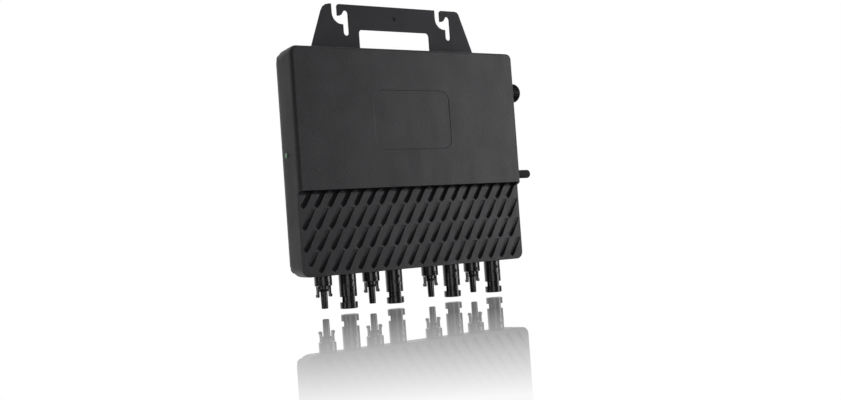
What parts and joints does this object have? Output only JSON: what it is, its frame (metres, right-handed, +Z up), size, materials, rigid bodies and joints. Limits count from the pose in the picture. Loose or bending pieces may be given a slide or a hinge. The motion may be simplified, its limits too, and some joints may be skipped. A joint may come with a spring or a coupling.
{
  "type": "micro inverter",
  "caption": "Hanging solar micro inverter: flat cast housing with a slotted lower face, hooked bracket above, plug and socket DC connectors below, AC gland and stub aerial on one side.",
  "frame": {"origin": "on the back face of the bracket's top bar, above the middle of the housing", "axes": "+X to the right seen from the front, -Y out of the slotted front face, +Y out of the bracket's back towards the rail, +Z up"},
  "size_m": [0.3141, 0.0436, 0.3204],
  "materials": {
    "cast_housing": "fine-textured matt dark grey paint on cast aluminium",
    "bracket_plate": "smooth satin dark grey coating on pressed plate",
    "connector_plastic": "glossy black moulded plastic",
    "sealing_rubber": "matt black moulded rubber",
    "aerial_rubber": "satin black over-moulded rubber",
    "screw_steel": "bright zinc-plated steel",
    "contact_metal": "bright tin plating on copper",
    "lamp_lens": "clear green-tinted moulded lens",
    "board_laminate": "green solder mask",
    "ferrite": "sintered dark grey ferrite with taped winding",
    "capacitor_sleeve": "shrunk dark blue sleeve",
    "component_case": "moulded component case",
    "radio_shield": "tinned screening can",
    "thermal_pad": "soft grey silicone pad"
  },
  "bodies": {
    "inverter": {"housing": "cast_housing", "cover_gasket": "sealing_rubber", "rear_cover": "cast_housing", "mounting_bracket": "bracket_plate", "cover_screw_1": "screw_steel", "cover_screw_2": "screw_steel", "cover_screw_3": "screw_steel", "cover_screw_4": "screw_steel", "cover_screw_5": "screw_steel", "cover_screw_6": "screw_steel", "bracket_screw_1": "screw_steel", "bracket_screw_2": "screw_steel", "bracket_screw_3": "screw_steel", "bracket_screw_4": "screw_steel", "dc_plug_1": "connector_plastic", "dc_plug_contact_1": "contact_metal", "dc_socket_1": "connector_plastic", "dc_socket_pin_1": "contact_metal", "dc_plug_2": "connector_plastic", "dc_plug_contact_2": "contact_metal", "dc_socket_2": "connector_plastic", "dc_socket_pin_2": "contact_metal", "dc_plug_3": "connector_plastic", "dc_plug_contact_3": "contact_metal", "dc_socket_3": "connector_plastic", "dc_socket_pin_3": "contact_metal", "dc_plug_4": "connector_plastic", "dc_plug_contact_4": "contact_metal", "dc_socket_4": "connector_plastic", "dc_socket_pin_4": "contact_metal", "ac_gland_body": "connector_plastic", "ac_gland_flange_seal": "sealing_rubber", "ac_gland_cable_seal": "sealing_rubber", "aerial_base": "screw_steel", "aerial_stub": "aerial_rubber", "status_lamp": "lamp_lens", "circuit_board": "board_laminate", "transformer_1": "ferrite", "transformer_2": "ferrite", "transformer_3": "ferrite", "transformer_4": "ferrite", "input_capacitor_1": "capacitor_sleeve", "input_capacitor_2": "capacitor_sleeve", "input_capacitor_3": "capacitor_sleeve", "input_capacitor_4": "capacitor_sleeve", "output_choke": "ferrite", "relay": "component_case", "film_capacitor": "component_case", "radio_module": "radio_shield", "thermal_pad": "thermal_pad"},
    "latch_1_left": {"latch_arm_1_left": "connector_plastic"},
    "latch_1_right": {"latch_arm_1_right": "connector_plastic"},
    "latch_2_left": {"latch_arm_2_left": "connector_plastic"},
    "latch_2_right": {"latch_arm_2_right": "connector_plastic"},
    "latch_3_left": {"latch_arm_3_left": "connector_plastic"},
    "latch_3_right": {"latch_arm_3_right": "connector_plastic"},
    "latch_4_left": {"latch_arm_4_left": "connector_plastic"},
    "latch_4_right": {"latch_arm_4_right": "connector_plastic"},
    "cap_nut": {"ac_gland_cap_nut": "connector_plastic"}
  },
  "joints": [
    {"name": "latch_1_left_flex", "type": "hinge", "parent": "inverter", "child": "latch_1_left", "pos_m": [-0.11565, -0.0196, -0.282], "axis": [0, -1, 0], "range_deg": [0, 6], "stiffness_Nm_per_rad": 0.02},
    {"name": "latch_1_right_flex", "type": "hinge", "parent": "inverter", "child": "latch_1_right", "pos_m": [-0.10175, -0.0196, -0.282], "axis": [0, 1, 0], "range_deg": [0, 6], "stiffness_Nm_per_rad": 0.02},
    {"name": "latch_2_left_flex", "type": "hinge", "parent": "inverter", "child": "latch_2_left", "pos_m": [-0.05865, -0.0196, -0.282], "axis": [0, -1, 0], "range_deg": [0, 6], "stiffness_Nm_per_rad": 0.02},
    {"name": "latch_2_right_flex", "type": "hinge", "parent": "inverter", "child": "latch_2_right", "pos_m": [-0.04475, -0.0196, -0.282], "axis": [0, 1, 0], "range_deg": [0, 6], "stiffness_Nm_per_rad": 0.02},
    {"name": "latch_3_left_flex", "type": "hinge", "parent": "inverter", "child": "latch_3_left", "pos_m": [0.01625, -0.0196, -0.282], "axis": [0, -1, 0], "range_deg": [0, 6], "stiffness_Nm_per_rad": 0.02},
    {"name": "latch_3_right_flex", "type": "hinge", "parent": "inverter", "child": "latch_3_right", "pos_m": [0.03015, -0.0196, -0.282], "axis": [0, 1, 0], "range_deg": [0, 6], "stiffness_Nm_per_rad": 0.02},
    {"name": "latch_4_left_flex", "type": "hinge", "parent": "inverter", "child": "latch_4_left", "pos_m": [0.07325, -0.0196, -0.282], "axis": [0, -1, 0], "range_deg": [0, 6], "stiffness_Nm_per_rad": 0.02},
    {"name": "latch_4_right_flex", "type": "hinge", "parent": "inverter", "child": "latch_4_right", "pos_m": [0.08715, -0.0196, -0.282], "axis": [0, 1, 0], "range_deg": [0, 6], "stiffness_Nm_per_rad": 0.02},
    {"name": "cap_nut_turn", "type": "hinge", "parent": "inverter", "child": "cap_nut", "pos_m": [0.15, -0.0211, -0.0825], "axis": [1, 0, 0], "continuous": true}
  ]
}
